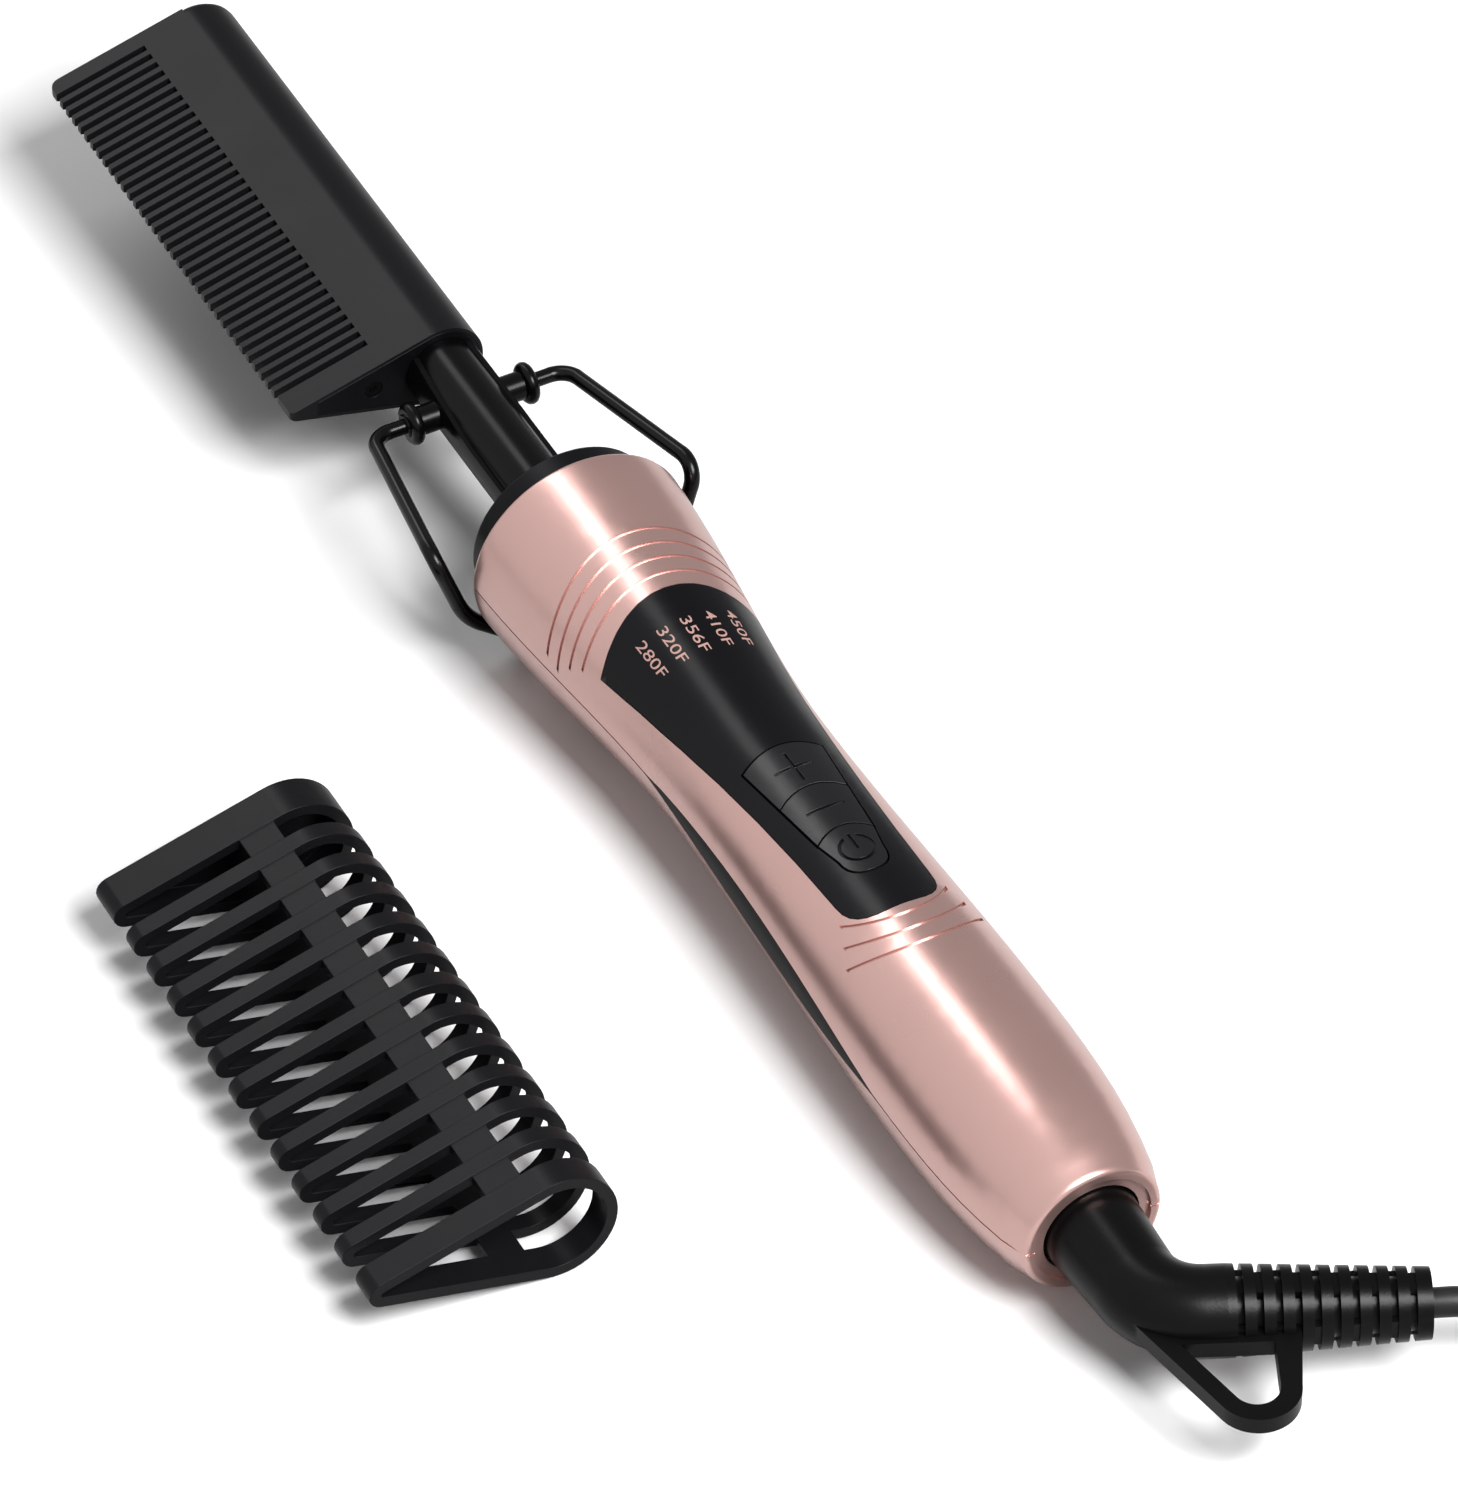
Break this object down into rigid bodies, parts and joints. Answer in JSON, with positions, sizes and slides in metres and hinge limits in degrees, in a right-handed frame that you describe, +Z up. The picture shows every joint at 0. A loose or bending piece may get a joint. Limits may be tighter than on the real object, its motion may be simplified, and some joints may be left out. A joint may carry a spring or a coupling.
{
  "type": "hot comb",
  "caption": "Corded hot comb with a round-backed heated comb head, wire stand, push keys, swivel cord and comb guard.",
  "frame": {"origin": "middle of the footprint, on the surface the comb rests on, without the lead", "axes": "+X along the grip towards the lead, +Y away from the teeth, +Z up through the keys"},
  "size_m": [0.4314, 0.2127, 0.0371],
  "materials": {
    "rose_lacquer": "metallic rose-gold lacquer over plastic, satin gloss",
    "gloss_black": "gloss",
    "satin_black": "satin",
    "key_black": "satin with cut symbols",
    "cover_black": "satin",
    "neck_steel": "black coated steel",
    "black_wire": "gloss black coated spring wire",
    "comb_coating": "dark non-stick coating on cast aluminium",
    "zinc_steel": "plated",
    "bare_aluminium": "extruded",
    "heater_ceramic": "ceramic",
    "insulating_film": "amber film",
    "lead_sleeve": "glass-braid sleeve",
    "board_green": "solder mask",
    "led_lens": "clear lens",
    "clear_guide": "clear moulding",
    "red_film": "dipped film",
    "fuse_glass": "clear tube",
    "contact_brass": "spring brass",
    "elbow_rubber": "soft satin moulding",
    "cord_rubber": "satin jacket"
  },
  "bodies": {
    "handle": {"upper_shell": "rose_lacquer", "lower_shell": "rose_lacquer", "control_panel": "gloss_black", "side_inlay_left": "gloss_black", "side_inlay_right": "gloss_black", "front_collar": "satin_black", "neck_tube": "neck_steel", "stand_bracket": "neck_steel", "pivot_studs": "neck_steel", "comb_head": "comb_coating", "head_end_plate": "satin_black", "head_screw": "zinc_steel", "heater_element": "heater_ceramic", "heater_film": "insulating_film", "heater_wedges": "bare_aluminium", "thermistor": "insulating_film", "heater_leads": "lead_sleeve", "circuit_board": "board_green", "leds": "led_lens", "light_guide": "clear_guide", "tact_switches": "satin_black", "capacitor": "red_film", "triac": "satin_black", "fuse": "fuse_glass", "board_screws": "zinc_steel", "shell_screws": "zinc_steel", "collar_screws": "zinc_steel", "mains_leads": "lead_sleeve", "swivel_socket": "satin_black", "contact_springs": "contact_brass"},
    "stand": {"stand_wire": "black_wire"},
    "plus_key": {"plus_button": "key_black"},
    "minus_key": {"minus_button": "key_black"},
    "power_key": {"power_button": "key_black"},
    "swivel": {"slip_rings": "contact_brass", "retaining_ring": "zinc_steel", "swivel_elbow": "elbow_rubber", "power_cord": "cord_rubber", "cord_coil": "cord_rubber", "plug_lead": "cord_rubber", "cord_tie": "elbow_rubber", "plug_body": "cord_rubber", "plug_pins": "zinc_steel"},
    "cover": {"comb_cover": "cover_black"}
  },
  "joints": [
    {"name": "stand_hinge", "type": "hinge", "parent": "handle", "child": "stand", "pos_m": [-0.06868, 0.02807, 0.02064], "axis": [0, 1, 0], "range_deg": [0, 120]},
    {"name": "plus_press", "type": "slide", "parent": "handle", "child": "plus_key", "axis": [-0.0351, 0, -0.9994], "range_m": [0, 0.0004], "stiffness_N_per_m": 1000, "springref_m": -0.0004},
    {"name": "minus_press", "type": "slide", "parent": "handle", "child": "minus_key", "axis": [-0.0351, 0, -0.9994], "range_m": [0, 0.0004], "stiffness_N_per_m": 1000, "springref_m": -0.0004},
    {"name": "power_press", "type": "slide", "parent": "handle", "child": "power_key", "axis": [-0.0351, 0, -0.9994], "range_m": [0, 0.0004], "stiffness_N_per_m": 1000, "springref_m": -0.0004},
    {"name": "cord_swivel", "type": "hinge", "parent": "handle", "child": "swivel", "pos_m": [0.1241, 0.02807, 0.01387], "axis": [0.9994, 0, -0.0351], "continuous": true},
    {"name": "cover_lift", "type": "slide", "parent": "handle", "child": "cover", "axis": [0, 0, 1], "range_m": [0, 0.08]}
  ]
}
